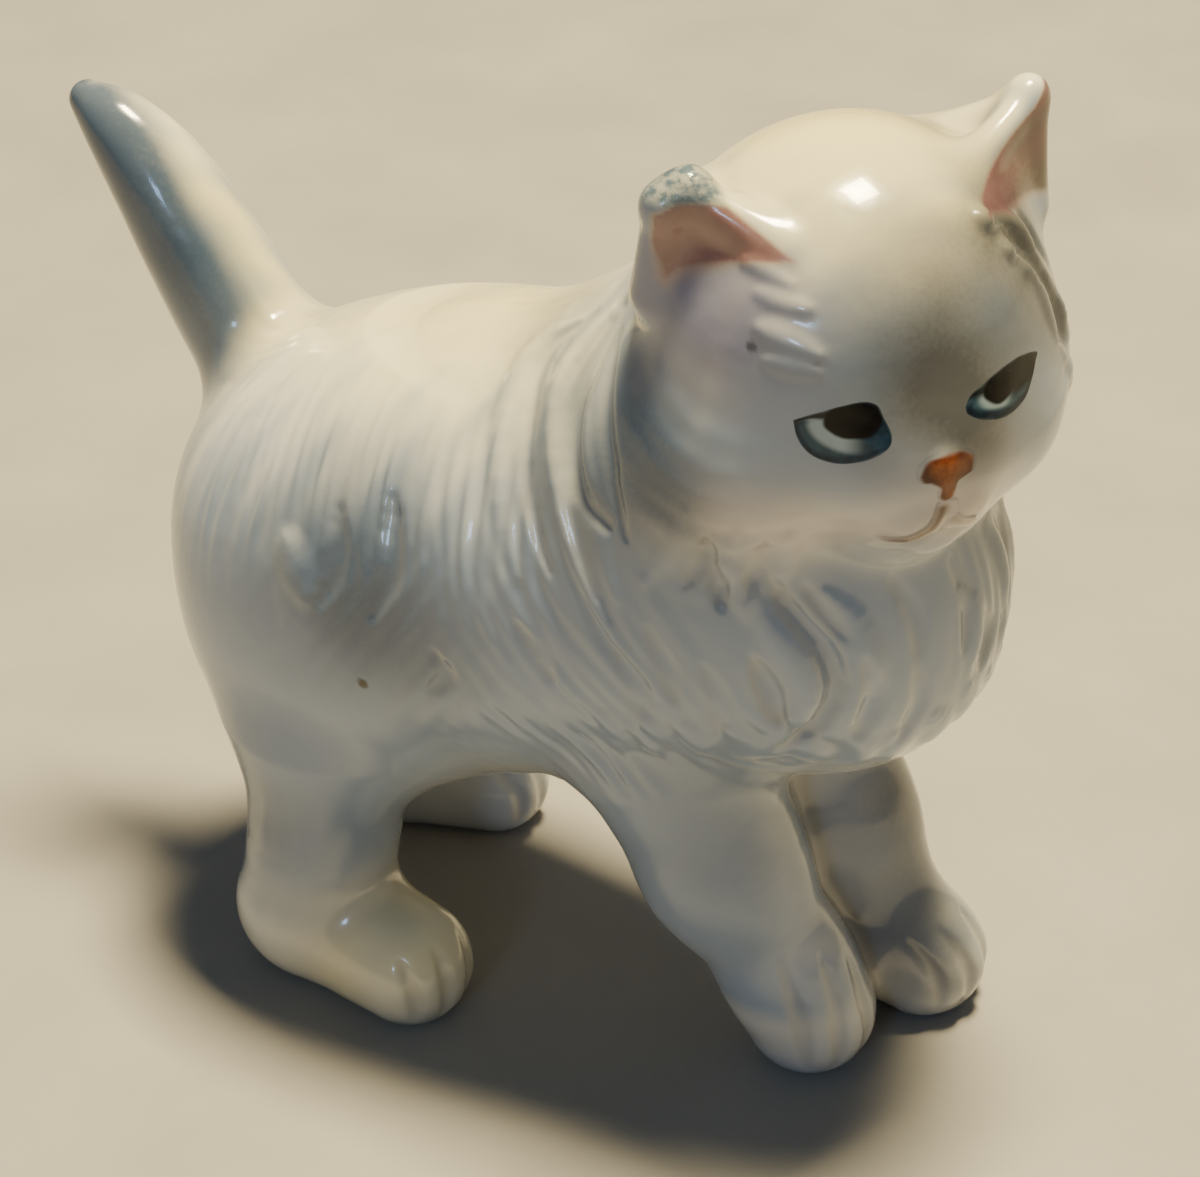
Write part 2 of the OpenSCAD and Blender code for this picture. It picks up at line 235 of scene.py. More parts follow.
class Clay:
    """Signed distances on a grid; masses are melted in, each over its own neighbourhood."""

    def __init__(self, low, high, step):
        self.step = step
        self.low = np.array(low, float)
        count = np.ceil((np.array(high) - self.low) / step).astype(int) + 1
        self.axes = [(self.low[i] + step * np.arange(count[i])).astype(np.float32) for i in range(3)]
        self.d = np.full(count, 40.0, np.float32)

    def window(self, low, high):
        a = np.clip(((np.array(low) - self.low) / self.step).astype(int), 0, self.d.shape)
        b = np.clip(((np.array(high) - self.low) / self.step).astype(int) + 2, 0, self.d.shape)
        return tuple(slice(x, y) for x, y in zip(a, b))

    def measure(self, mass, in_head=False):
        """Distances to one mass over its own neighbourhood."""
        k = mass[0]
        spots = [np.array(q, float) for q in mass[1:] if isinstance(q, (list, tuple, np.ndarray))]
        if len(mass) == 3:
            radii = spots.pop()
            reach = float(max(radii))
        elif len(mass) == 5:
            reach = max(mass[3], mass[4])
        else:
            reach = mass[4]
        if in_head:
            spots = [from_head(q) for q in spots]
        pad = reach + k + 4 * self.step
        w = self.window(np.min(spots, axis=0) - pad, np.max(spots, axis=0) + pad)
        p = np.meshgrid(*[self.axes[i][w[i]] for i in range(3)], indexing="ij")
        if len(mass) == 3:
            return w, ball(p, spots[0], radii, HEAD if in_head else None)
        if len(mass) == 5:
            return w, limb(p, spots[0], spots[1], mass[3], mass[4])
        return w, web(p, spots[0], spots[1], spots[2], mass[4])

    def add(self, mass, in_head=False):
        w, d = self.measure(mass, in_head)
        self.d[w] = melt(self.d[w], d, mass[0])

    def add_chain(self, masses, cut=False):
        """Several limbs end to end, joined to each other first so that they leave no beads."""
        parts = [self.measure(mass) for mass in masses]
        low = [min(w[i].start for w, _ in parts) for i in range(3)]
        high = [max(w[i].stop for w, _ in parts) for i in range(3)]
        chain = np.full([b - a for a, b in zip(low, high)], 40.0, np.float32)
        for w, d in parts:
            inner = tuple(slice(w[i].start - low[i], w[i].stop - low[i]) for i in range(3))
            chain[inner] = np.minimum(chain[inner], d)
        whole = tuple(slice(a, b) for a, b in zip(low, high))
        k = masses[0][0]
        self.d[whole] = -melt(-self.d[whole], chain, k) if cut else melt(self.d[whole], chain, k)

    def at(self, p):
        g = (np.asarray(p) - self.low) / self.step
        i = np.clip(np.floor(g).astype(int), 0, np.array(self.d.shape) - 2)
        t = g - i
        total = np.zeros(len(p))
        for x, y, z in CUBE:
            weight = np.where(x, t[:, 0], 1 - t[:, 0]) * np.where(y, t[:, 1], 1 - t[:, 1])
            weight *= np.where(z, t[:, 2], 1 - t[:, 2])
            total += weight * self.d[i[:, 0] + x, i[:, 1] + y, i[:, 2] + z]
        return total

    def slope(self, p, reach=1.0):
        e = self.step * reach
        return np.stack([(self.at(p + s) - self.at(p - s)) / (2 * e) for s in np.eye(3) * e], axis=1)

    def outward(self, p, reach):
        """Unit normals."""
        n = self.slope(p, reach)
        return n / np.maximum(np.linalg.norm(n, axis=1), 1e-6)[:, None]

    def settle(self, p, rounds):
        """Points moved on to the surface, a few steps down the slope."""
        for _ in range(rounds):
            g = self.slope(p)
            p = p - self.at(p)[:, None] * g / np.maximum((g * g).sum(1), 0.05)[:, None]
        return p

    def skin(self):
        """One closed quad mesh of the zero surface, by surface nets."""
        inside = self.d < 0
        n = np.array(inside.shape)
        filled = np.zeros(n - 1, np.int8)
        for x, y, z in CUBE:
            filled += inside[x:n[0] - 1 + x, y:n[1] - 1 + y, z:n[2] - 1 + z]
        cells = np.argwhere((filled > 0) & (filled < 8))
        index = np.full(n - 1, -1, np.int32)
        index[tuple(cells.T)] = np.arange(len(cells))
        total = np.zeros((len(cells), 3))
        count = np.zeros(len(cells))
        for corner in CUBE:
            for axis in range(3):
                if corner[axis]:
                    continue
                other = list(corner)
                other[axis] = 1
                da = self.d[tuple((cells + corner).T)]
                db = self.d[tuple((cells + other).T)]
                crossed = (da < 0) != (db < 0)
                spot = np.tile(np.array(corner, float), (len(cells), 1))
                spot[:, axis] += np.where(crossed, da / np.where(crossed, da - db, 1), 0)
                total[crossed] += spot[crossed]
                count[crossed] += 1
        points = (cells + total / count[:, None]) * self.step + self.low
        quads = []
        for axis in range(3):
            u, v = (axis + 1) % 3, (axis + 2) % 3
            first, second = [slice(None)] * 3, [slice(None)] * 3
            first[axis], second[axis] = slice(0, -1), slice(1, None)
            a, b = inside[tuple(first)], inside[tuple(second)]
            edges = np.argwhere(a != b)
            outward = a[tuple(edges.T)]
            around = []
            for du, dv in ((1, 1), (0, 1), (0, 0), (1, 0)):
                cell = edges.copy()
                cell[:, u] -= du
                cell[:, v] -= dv
                around.append(index[tuple(cell.T)])
            quad = np.stack(around, axis=1)
            quad[~outward] = quad[~outward][:, ::-1]
            quads.append(quad)
        return points, np.concatenate(quads)


def curve(path, count):
    """Smooth path through a few points (Catmull-Rom)."""
    p = np.asarray(path, float)
    p = np.vstack([2 * p[0] - p[1], p, 2 * p[-1] - p[-2]])
    out = []
    for s in np.linspace(0, len(p) - 3 - 1e-6, count):
        i, t = int(s), s - int(s)
        a, b, c, d = p[i:i + 4]
        out.append(0.5 * (2 * b + (c - a) * t + (2 * a - 5 * b + 4 * c - d) * t ** 2
                          + (3 * b - a - 3 * c + d) * t ** 3))
    return np.array(out)


clay = Clay(CLAY_LOW, CLAY_HIGH, VOXEL)
for mass in TORSO + THIGHS + sum(LEGS.values(), []):
    clay.add(mass)
spine = curve(TAIL_SPINE, TAIL_LINKS + 1)
clay.add_chain([[TAIL_BLEND, a[:3], b[:3], a[3], b[3]] for a, b in zip(spine, spine[1:])])
for mass in HEAD_MASSES + sum(EARS.values(), []):
    clay.add(mass, in_head=True)

# ---------------------------------------------------------------- fur, folds and toes
# Points on the skin are given as (azimuth, elevation) in degrees seen from one of these centres;
# azimuth 0 is straight ahead and negative azimuths are the kitten's right.
AIMS = {
    "head": (HEAD_CENTRE, HEAD),
    "chest": (np.array([20.0, -4.0, 58.0]), np.eye(3)),
    "rump": (np.array([-18.0, -5.0, 50.0]), np.eye(3)),
}


def walk_out(centre, d, start, end, step):
    """Where rays from a centre leave the clay."""
    t = np.arange(start, end, step)
    spots = centre + d[:, None] * t[None, :, None]
    values = clay.at(spots.reshape(-1, 3)).reshape(len(d), len(t))
    out = np.argmax(values > 0, axis=1).clip(1)
    rows = np.arange(len(d))
    before, after = values[rows, out - 1], values[rows, out]
    share = before / np.where(before == after, 1, before - after)
    return centre + d * (t[out - 1] + step * np.clip(share, 0, 1))[:, None]


def on_skin(aim, angles):
    """Points on the skin at angles seen from one of the aims."""
    centre, axes = AIMS[aim]
    a, e = np.radians(np.asarray(angles, float)).T
    d = np.stack([np.cos(a) * np.cos(e), np.sin(a) * np.cos(e), np.sin(e)], axis=1) @ axes
    return walk_out(centre, d, 4, 44, 0.5)


def lay(p, width, lift, blend, skew=0.5):
    """A lock (lift above 0) or a furrow (below 0) along points on the skin, fading at both ends."""
    n = clay.outward(p, 1.5)
    t = np.linspace(0, 1, len(p))
    shape = np.where(t < skew, t / skew, (1 - t) / (1 - skew))
    fade = 0.12 + 0.88 * np.sin(shape * math.pi / 2) ** 0.8
    r = width * fade
    depth = abs(lift) * fade
    middle = p + n * (depth - r)[:, None] if lift > 0 else p + n * (r - depth)[:, None]
    links = [[blend, middle[i], middle[i + 1], r[i], r[i + 1]] for i in range(len(p) - 1)]
    clay.add_chain(links, cut=lift < 0)


def stroke(aim, path, width, lift, blend=0.9, count=8, skew=0.5):
    """A lock or furrow through a few angles seen from one of the aims."""
    lay(on_skin(aim, curve(path, count)), width, lift, blend, skew)


def strand(path, width, lift, blend, count):
    """A stroke through points given in modelling units, first drawn down on to the skin."""
    lay(clay.settle(curve(path, count), 5), width, lift, blend)


chance = np.random.default_rng(29)


def comb(where, radii, across, along, spacing, depth):
    """Fine strands pressed into the clay: they run along one direction and repeat across another."""
    where, radii = np.array(where, float), np.array(radii, float)
    across, along = np.array(across, float), np.array(along, float)
    w = clay.window(where - 1.7 * radii, where + 1.7 * radii)
    x, y, z = np.meshgrid(*[clay.axes[i][w[i]] for i in range(3)], indexing="ij")
    fade = np.exp(-1.4 * sum(((q - c) / r) ** 2 for q, c, r in zip((x, y, z), where, radii)))
    u = (across[0] * x + across[1] * y + across[2] * z) / spacing
    v = (along[0] * x + along[1] * y + along[2] * z) / (spacing * 5)
    total = 0
    for rate in (0.62, 1.0, 1.37):
        sway = 0.9 * np.sin(v * chance.uniform(2, 4) + chance.uniform(0, 6)) + chance.uniform(0, 6)
        swell = 0.6 + 0.4 * np.sin(v * chance.uniform(3, 6) + u * 1.7 + chance.uniform(0, 6))
        total = total + swell * np.sin(2 * math.pi * u * rate + sway)
    clay.d[w] += (depth * fade * total / 1.6).astype(np.float32)


# Folds round the neck, from the nape down over the shoulder, both sides.
FOLDS = [
    ([(-139, 64), (-141, 55), (-131, 45), (-119, 34), (-108, 20), (-100, 8)], 2.0, 0.34),
    ([(-131, 64), (-125, 53), (-115, 43), (-105, 30), (-98, 16)], 1.6, 0.3),
    ([(-152, 57), (-156, 48), (-144, 38), (-132, 27), (-121, 12)], 2.2, 0.26),
    ([(-135, 62), (-132, 51), (-121, 40), (-111, 27), (-103, 14)], 1.1, -0.5),
    ([(-149, 60), (-149, 50), (-137, 41), (-126, 30), (-115, 16)], 1.1, -0.45),
    ([(-122, 62), (-113, 52), (-104, 42), (-97, 30)], 1.0, -0.6),
]
for path, width, lift in FOLDS:
    stroke("chest", path, width, lift, 0.8, 16)
    stroke("chest", [(-a - 14, e) for a, e in path], width * 1.2, lift * 0.6, 1.2, 16)

# Body coat: fine strands down the haunches, shoulders and flanks.
for side in (-1, 1):
    comb((-14, side * 26, 68), (15, 12, 9), (0.97, side * 0.2, 0.15), (0, 0, 1), 2.3, 0.26)
    comb((0, side * 26, 68), (9, 12, 10), (0.95, side * 0.2, 0.2), (0, 0, 1), 2.4, 0.24)
    comb((-30, side * 22, 62), (9, 14, 9), (0.8, side * 0.6, 0.1), (0, 0, 1), 2.6, 0.18)
    comb((-8, side * 30, 52), (14, 9, 9), (0.85, side * 0.2, -0.5), (0.4, 0, 0.9), 3.4, 0.22)
    comb((12, side * 30, 58), (12, 9, 10), (0.8, side * 0.2, 0.55), (-0.5, 0, 0.85), 2.8, 0.26)
    comb((14, side * 28, 44), (12, 9, 6), (0.8, side * 0.2, 0.55), (-0.5, 0, 0.85), 2.6, 0.28)
    comb((30, side * 26, 50), (12, 10, 9), (0.85, side * 0.5, 0.3), (-0.3, 0, 1), 3.0, 0.22)
    comb((-24, side * 24, 22), (9, 9, 5), (0.9, 0, -0.2), (0, 0, 1), 3.0, 0.14)
comb((46, 2, 60), (7, 12, 12), (0, 1, 0.15), (0, 0, 1), 2.6, 0.3)
comb((44, 8, 70), (8, 8, 8), (0.3, 1, 0.4), (0, -0.4, 1), 1.8, 0.3)
comb((-30, -4, 66), (10, 12, 9), (0.1, 1, 0), (1, 0, -0.3), 2.6, 0.14)
comb((0, -5, 80), (16, 12, 7), (0.05, 1, 0), (1, 0, 0), 3.2, 0.10)
stroke("rump", [(-99, 24), (-95, 18), (-91, 12)], 2.8, 0.3, 1.6)
stroke("rump", [(-84, 34), (-83, 24), (-87, 12)], 1.4, -0.4, 1.2)
stroke("rump", [(-69, 38), (-68, 26), (-73, 12)], 1.4, -0.35, 1.2)
stroke("rump", [(-60, -4), (-57, 1), (-59, 6)], 1.1, -0.4, 1.0)
stroke("chest", [(-119, 2), (-114, -4), (-113, -10)], 1.1, -0.4, 0.9)

# Bib: soft locks running down the chest.
BIB = [
    ([(-61, 28), (-55, 18), (-47, 7), (-45, -6), (-50, -18), (-57, -25)], 1.5, -1.25),
    ([(-66, 24), (-60, 14), (-53, 3), (-50, -8), (-55, -22)], 2.1, 0.55),
    ([(-77, 34), (-73, 26), (-72, 19)], 1.1, -0.7),
    ([(-71, 30), (-68, 24), (-66, 17)], 1.2, 0.45),
    ([(-64, 6), (-60, -4), (-57, -15)], 1.3, -1.15),
    ([(-52, 24), (-46, 16), (-41, 10)], 1.1, -0.6),
    ([(-47, 22), (-40, 12), (-36, 0), (-39, -14)], 2.0, 0.35),
    ([(-38, 4), (-35, -8), (-36, -20)], 1.7, -0.75),
    ([(-30, 22), (-25, 12), (-24, 0)], 1.1, -0.4),
    ([(-24, -2), (-22, -14), (-25, -26)], 1.2, -0.45),
    ([(-12, 20), (-8, 8), (-9, -4)], 1.0, -0.5),
    ([(-10, 12), (-4, 2), (-5, -8)], 1.6, 0.45),
    ([(-2, 2), (1, -6), (0, -14)], 1.2, -0.8),
    ([(4, 22), (9, 10), (8, -6)], 1.4, 0.5),
    ([(12, 20), (16, 8), (15, -8)], 1.1, -0.6),
    ([(24, 22), (30, 8), (30, -12)], 1.3, -0.7),
    ([(34, 22), (41, 8), (42, -12)], 1.9, 0.45),
    ([(46, 22), (53, 6), (54, -14)], 1.3, -0.8),
    ([(58, 18), (64, 4), (66, -14)], 1.9, 0.4),
    ([(-90, 10), (-85, 0), (-84, -10)], 1.2, -0.35),
    ([(-98, 2), (-93, -8), (-94, -20)], 1.4, -0.35),
    ([(-76, 2), (-72, -8), (-73, -20)], 1.3, -0.3),
]
for path, width, lift in BIB:
    stroke("chest", path, width, lift, 0.9, 12, 0.55)
# The bib's lower edge stands a little proud of the front legs.
for a in range(-100, 84, 11):
    low = -27 + chance.uniform(-2, 2) - (4 if -60 < a < -20 else 0)
    slant = chance.uniform(-3, 3)
    lock = [(a - 3, low + 9), (a + slant, low + 3), (a + slant, low - 3)]
    stroke("chest", lock, 2.2, 0.3, 1.2, 7, 0.65)
stroke("chest", [(-62, -31), (-54, -33), (-46, -33)], 1.3, -0.6, 1.0, 7)

# The cheek ruffs lie over the neck with a deep edge behind them.
RUFF_EDGE = [(-113, 8), (-105, -7), (-97, -18), (-85, -27)]
for side in (1, -1):
    stroke("head", [(side * a, e) for a, e in RUFF_EDGE], 1.5, -0.9, 1.4, 14)
    comb(from_head((8, side * 19, -10)), (9, 9, 9), turn_to_head((0.5, side * 0.3, 0.9)),
         turn_to_head((-0.6, side * 0.6, -0.5)), 3.2, 0.16)
for path, width, lift in [
    ([(-66, -22), (-70, -30), (-76, -36)], 1.5, 0.3),
    ([(-54, -27), (-57, -34), (-62, -40)], 1.5, 0.3),
    ([(-42, -31), (-44, -38), (-48, -44)], 1.5, 0.3),
    ([(-60, -27), (-64, -34), (-68, -38)], 0.9, -0.35),
    ([(-48, -31), (-51, -38), (-54, -42)], 0.9, -0.35),
    ([(56, 20), (60, 10), (62, 0)], 1.5, 0.4),
    ([(60, 8), (64, -2), (66, -10)], 1.5, 0.4),
    ([(56, -4), (62, -14), (64, -22)], 1.5, 0.35),
    ([(53, 16), (57, 5), (59, -8)], 1.0, -0.5),
]:
    stroke("head", path, width, lift, 0.8, 8, 0.6)

# Tufts below the left ear, then brow ridges beside the right one.
for path, width, lift in [
    ([(40, 47), (41, 43)], 1.6, 0.8),
    ([(41, 36), (43, 32)], 1.1, 0.5),
    ([(45, 29), (48, 22)], 1.0, 0.45),
    ([(48, 24), (51, 12), (53, 0)], 1.0, 0.4),
    ([(47, 40), (50, 34), (52, 26), (55, 15)], 1.4, -0.8),
    ([(61, 36), (62, 28), (64, 18)], 1.1, -0.6),
    ([(54, 42), (56, 35), (58, 27)], 0.9, 0.4),
]:
    stroke("head", path, width, lift, 0.6, 8)

for path, width, blend in [
    ([(-62, 43), (-54, 42), (-43, 40)], 1.0, 0.9),
    ([(-54, 36), (-46, 35), (-36, 34)], 1.0, 0.9),
    ([(-51, 27), (-43, 25), (-33, 22)], 1.4, 1.2),
    ([(-48, 19), (-41, 18), (-33, 17)], 1.2, 0.9),
]:
    stroke("head", path, width, 0.06, blend, 10)

# Face: muzzle puffs, the cleft and corners of the mouth, the chin and the bridge of the nose.
for side in (-1, 1):
    stroke("head", [(side * 6, -26), (side * 10, -29)], 3.0, 0.35, 1.5, 5)
stroke("head", [(0, -24), (0, -28), (0, -31)], 0.5, -0.35, 0.5, 6)
stroke("head", [(-1, -30), (-7, -32.5), (-14, -34), (-20, -35)], 0.55, -0.5, 0.5, 8, 0.3)
stroke("head", [(1, -30), (7, -33), (14, -35)], 0.5, -0.4, 0.5, 8, 0.3)
stroke("head", [(-9, -36), (-2, -38), (5, -37)], 1.7, 0.4, 0.9, 6)
stroke("head", [(0, -9), (0, -14)], 2.0, 0.3, 1.0, 4)

# Toes: shallow furrows up the front of each paw.
TOES = [
    [(31, -17.5, 17), (33.2, -17, 9), (34, -16.5, 1)],
    [(34.5, -14, 17), (36, -13.5, 9), (36.5, -13.5, 1)],
    [(36, -10, 15), (38, -9.5, 9), (38, -9.5, 1)],
    [(39.5, -2, 12), (43, -1.5, 7), (43.5, -1.5, 1)],
    [(41, 2, 12), (44.5, 3, 7), (45, 3, 1)],
    [(41.5, 6.5, 12), (44.5, 7.5, 7), (45, 8, 1)],
    [(-10, -27, 9), (-7.5, -28.5, 5), (-7.5, -28.5, 1)],
    [(-8, -24, 9), (-5, -25, 5), (-5, -25, 1)],
    [(-7, -20, 9), (-4.8, -20.5, 5), (-4.8, -20.5, 1)],
    [(-18, 8.5, 10), (-14.5, 8.5, 6), (-14.5, 8.5, 1)],
    [(-17, 12, 10), (-13.5, 12.5, 6), (-13.5, 12.5, 1)],
    [(-18, 15.5, 10), (-15.5, 17, 6), (-15.5, 17, 1)],
]
TOE_WIDTH, TOE_DEPTH = 0.9, 0.5
for path in TOES:
    strand(path, TOE_WIDTH, -TOE_DEPTH, 0.8, 8)

# The firing vent under the belly, as wide as in the CAD model.
VENT = [0.8, [-7, -5, 18], [-7, -5, 38], 1.92, 1.92]
clay.add_chain([VENT], cut=True)


def mesh_object(name, points, faces):
    mesh = bpy.data.meshes.new(name)
    mesh.from_pydata(np.asarray(points).tolist(), [], [list(f) for f in faces])
    mesh.update()
    thing = bpy.data.objects.new(name, mesh)
    scene.collection.objects.link(thing)
    return thing


# ---------------------------------------------------------------- parting the clay into its pieces
points, quads = clay.skin()
points = clay.settle(points, 2)
whole = mesh_object("whole", place(points), quads.tolist())


def box_cutter(name, low, high, matrix=None):
    """A closed box, low and high in modelling units, in the axes of the matrix."""
    low, high = np.array(low, float), np.array(high, float)
    corners = np.array(CUBE) * (high - low) + low
    if matrix is not None:
        corners = corners @ matrix[:3] + matrix[3]
    faces = [(0, 1, 3, 2), (4, 6, 7, 5), (0, 4, 5, 1), (2, 3, 7, 6), (0, 2, 6, 4), (1, 5, 7, 3)]
    return mesh_object(name, place(corners), faces)


def plane_cutter(name, point, normal, size, height):
    """A box standing on a plane, reaching out along its normal."""
    normal = np.array(normal, float) / np.linalg.norm(normal)
    across = np.cross(normal, [0.0, 1.0, 0.0])
    across /= np.linalg.norm(across)
    along = np.cross(normal, across)
    matrix = np.array([across, along, normal, point])
    return box_cutter(name, [-size / 2, -size / 2, 0], [size / 2, size / 2, height], matrix)


def boolean(thing, cutter, operation):
    modifier = thing.modifiers.new("part", "BOOLEAN")
    modifier.operation = operation
    modifier.object = cutter
    modifier.solver = "MANIFOLD"
    graph = bpy.context.evaluated_depsgraph_get()
    mesh = bpy.data.meshes.new_from_object(thing.evaluated_get(graph))
    thing.modifiers.clear()
    old = thing.data
    thing.data = mesh
    if old.users == 0:
        bpy.data.meshes.remove(old)
    return thing


def copy_of(thing, name):
    other = bpy.data.objects.new(name, thing.data.copy())
    scene.collection.objects.link(other)
    return other


NECK_LEAN = math.radians(18)
NECK_POINT = np.array([27, -5, 72.5])
NECK_NORMAL = HEAD[0] * math.sin(NECK_LEAN) + np.array([0, 0, 1]) * math.cos(NECK_LEAN)
TAIL_POINT = np.array([-45, 0, 67.5])
TAIL_NORMAL = np.array([-0.52, 0, 0.854])
EAR_SLANT = math.radians(40)
FRONT_ROOT, HIND_ROOT = 28, 21


def ear_plane(side):
    point = from_head([-0.5, side * 14.5, 13.3])
    return point, turn_to_head([0, side * math.sin(EAR_SLANT), math.cos(EAR_SLANT)])


cutters = {
    "head": plane_cutter("cut_head", NECK_POINT, NECK_NORMAL, 90, 60),
    "tail": plane_cutter("cut_tail", TAIL_POINT, TAIL_NORMAL, 30, 50),
    "ear_right": plane_cutter("cut_ear_right", *ear_plane(-1), 24, 20),
    "ear_left": plane_cutter("cut_ear_left", *ear_plane(1), 24, 20),
    "leg_front_right": box_cutter("cut_fr", [0, -34, -8], [50, -3.4, FRONT_ROOT]),
    "leg_front_left": box_cutter("cut_fl", [0, -3.4, -8], [52, 20, FRONT_ROOT]),
    "leg_hind_right": box_cutter("cut_hr", [-52, -36, -8], [0, -5, HIND_ROOT]),
    "leg_hind_left": box_cutter("cut_hl", [-52, -5, -8], [0, 26, HIND_ROOT]),
}
ground = box_cutter("cut_ground", [-90, -60, -12], [80, 50, 0])
boolean(whole, ground, "DIFFERENCE")

pieces = {}
for name, cutter in cutters.items():
    pieces[name] = boolean(copy_of(whole, name + "_clay"), cutter, "INTERSECT")
for side in ("ear_right", "ear_left"):
    boolean(pieces["head"], cutters[side], "DIFFERENCE")
torso = copy_of(whole, "torso_clay")
for name in cutters:
    if not name.startswith("ear"):
        boolean(torso, cutters[name], "DIFFERENCE")
pieces["torso"] = torso
for thing in [whole, ground, *cutters.values()]:
    mesh = thing.data
    bpy.data.objects.remove(thing)
    bpy.data.meshes.remove(mesh)

# ---------------------------------------------------------------- paint
# Normals are taken over this many voxels. A mesh corner takes the clay's normal only where it lies
# within ON_SKIN of the clay and its face looks the SAME_WAY; elsewhere it is on a parting plane.
SKIN_REACH, ON_SKIN, SAME_WAY = 1.4, 0.45, 0.35
# Airbrushed colour, painted light and painted shade: [where, radii, strength]; where and radii are in
# modelling units.
SLATE = [
    [(17.2, -25, 83), (6, 6, 7), 0.95],
    [(20.3, -27, 78.4), (6, 6, 5), 0.97],
    [(14.5, -26, 74.5), (6, 5, 9), 0.5],
    [(7, -23, 77), (4, 6, 9), 0.45],
    [(-14, -29.5, 57), (9, 8, 10), 0.8],
    [(-8, -29.5, 52), (8, 8, 7), 0.65],
    [(-16, -26.5, 66), (12, 8, 8), 0.42],
    [(-27, -26, 23), (10, 9, 8), 0.68],
    [(25, -20, 34), (10, 8, 13), 0.4],
    [(12, 22, 82), (8, 6, 9), 0.6],
    [(-16, 22, 57), (9, 8, 10), 0.6],
    [(-32, 15, 23), (9, 9, 7), 0.6],
    [(-38, -2, 62), (6, 9, 6), 0.4],
    [(2, -8, 84), (5, 9, 6), 0.35],
    [(22, -26, 66), (14, 6, 12), 0.18],
]
# Dark grey airbrush, mostly on the face and forehead; the two spots on the front left leg and paw are
# painted shade, where the head's shadow falls on them.
SMOKE_AND_SHADE = [
    [(44.5, -18, 90), (6.5, 6.5, 6), 0.85],
    [(43.5, -14, 95), (7, 8, 6.5), 0.8],
    [(39.5, -15.5, 99), (8, 8, 7), 0.5],
    [(48, -13.5, 88.5), (4.5, 5.5, 5), 0.75],
    [(47.5, -16, 86), (3.5, 4, 3.5), 0.6],
    [(45, -2.5, 101.5), (5, 5, 4.5), 0.92],
    [(46.5, -1, 97), (4.5, 4.5, 5.5), 0.88],
    [(48, 1, 92), (4.5, 5, 6.5), 0.6],
    [(33, 4, 107.5), (5, 4, 3.5), 0.6],
    [(45, -17.5, 77), (4, 4, 2), 0.25],
    [(44, 2, 66), (5, 8, 12), 0.5],
    [(36, 3, 28), (9, 9, 14), 0.78],
    [(38, 3, 10), (8, 8, 8), 0.76],
    [(44.5, -12, 97), (11, 12, 11), 0.32],
    [(44.8, -4.4, 102), (4.5, 4.5, 4), 0.95],
    [(47.6, -3.2, 97.5), (4.5, 4.5, 5), 0.85],
    [(50, -2, 91), (3, 3, 5), 0.5],
]
LILAC = [
    [(22, -22, 96.5), (8, 6, 4.5), 0.9],
    [(28, -20, 99), (4, 5, 3), 0.75],
    [(16, -22, 99.5), (3, 5, 9), 0.5],
    [(27.5, -22, 95), (6, 5, 2.5), 0.6],
    [(28, -20.8, 97.6), (4, 4, 2.5), 0.6],
    [(24, -22.5, 93), (7, 6, 5), 0.35],
]
WARM = [
    [(26, -28, 76), (9, 7, 4), 0.65],
    [(36, -24, 76), (9, 7, 4), 0.6],
    [(47.5, -15.5, 79), (4, 4, 5), 0.85],
    [(44, -20, 79), (5, 5, 4), 0.35],
    [(21, -27, 91), (6, 5, 4), 0.35],
]
# Painted warm light: cream-yellow on the top of the head, the back and the tail, where the key light
# falls, and on the right hind paw, painted as lit.
LIT_HIND_PAW = [(-15, -22, 6), (12, 9, 9), 0.9]
TOP_LIGHT = [
    [(28, -4, 108), (22, 22, 10), 0.92],
    [(-8, -4, 79), (30, 20, 9), 0.82],
    [(-46, -2, 74), (14, 8, 18), 0.92],
    LIT_HIND_PAW,
]
HOLLOW_REACH = 1.1
TAIL_SLATE_SIDE = np.array([-0.86, -0.5, -0.1])
# Each ear's pink: how much softer it gets low down, the facing it starts at, and its reach forward.
EAR_PAINT = {"ear_right": (1.2, (-0.3, 0.0), 0), "ear_left": (0.5, (-0.8, -0.5), 0.6)}
# Dark specks in the glaze: [where, radius, strength].
SPECKS = [[(-11.9, -29.5, 46.7), 0.7, 1.0], [(28.8, -23.0, 94.1), 0.6, 0.6]]
# Outlines of the pink inside each ear, in the head's left and crown directions.
EAR_INSIDES = {
    "ear_right": [(-20.4, 18.2), (-18.0, 19.4), (-13.8, 19.0), (-11.0, 16.2), (-9.4, 14.6),
                  (-13, 14.2), (-16.2, 12.2), (-19.4, 9.6), (-20.4, 11)],
    "ear_left": [(22.4, 21.5), (19.6, 19.0), (14, 16.9), (10.2, 15.6), (9.4, 14.9),
                 (11, 13.9), (20.6, 9.6), (26, 9), (25, 20)],
}


def ramp(low, high, x):
    """Smooth step from 0 at low to 1 at high; low may be the larger."""
    t = np.clip((x - low) / (high - low), 0, 1)
    return t * t * (3 - 2 * t)


def spray(p, spots):
    """Strength of a set of soft spots, used for airbrushed colour and for painted light and shade."""
    total = np.zeros(len(p))
    for where, radii, strength in spots:
        away = (((p - np.array(where)) / np.array(radii)) ** 2).sum(1)
        total = 1 - (1 - total) * (1 - strength * np.exp(-0.8 * away))
    return total


def inside_outline(x, y, outline):
    """Distance inside a closed outline, negative outside."""
    ring = np.array(outline, float)
    nearest = np.full(len(x), 1e9)
    within = np.zeros(len(x), bool)
    for (ax, ay), (bx, by) in zip(ring, np.roll(ring, -1, axis=0)):
        dx, dy = bx - ax, by - ay
        t = np.clip(((x - ax) * dx + (y - ay) * dy) / (dx * dx + dy * dy), 0, 1)
        nearest = np.minimum(nearest, np.hypot(x - ax - t * dx, y - ay - t * dy))
        rising = (ay > y) != (by > y)
        within ^= rising & (x < ax + dx * (y - ay) / np.where(dy == 0, 1e-9, dy))
    return np.where(within, nearest, -nearest)


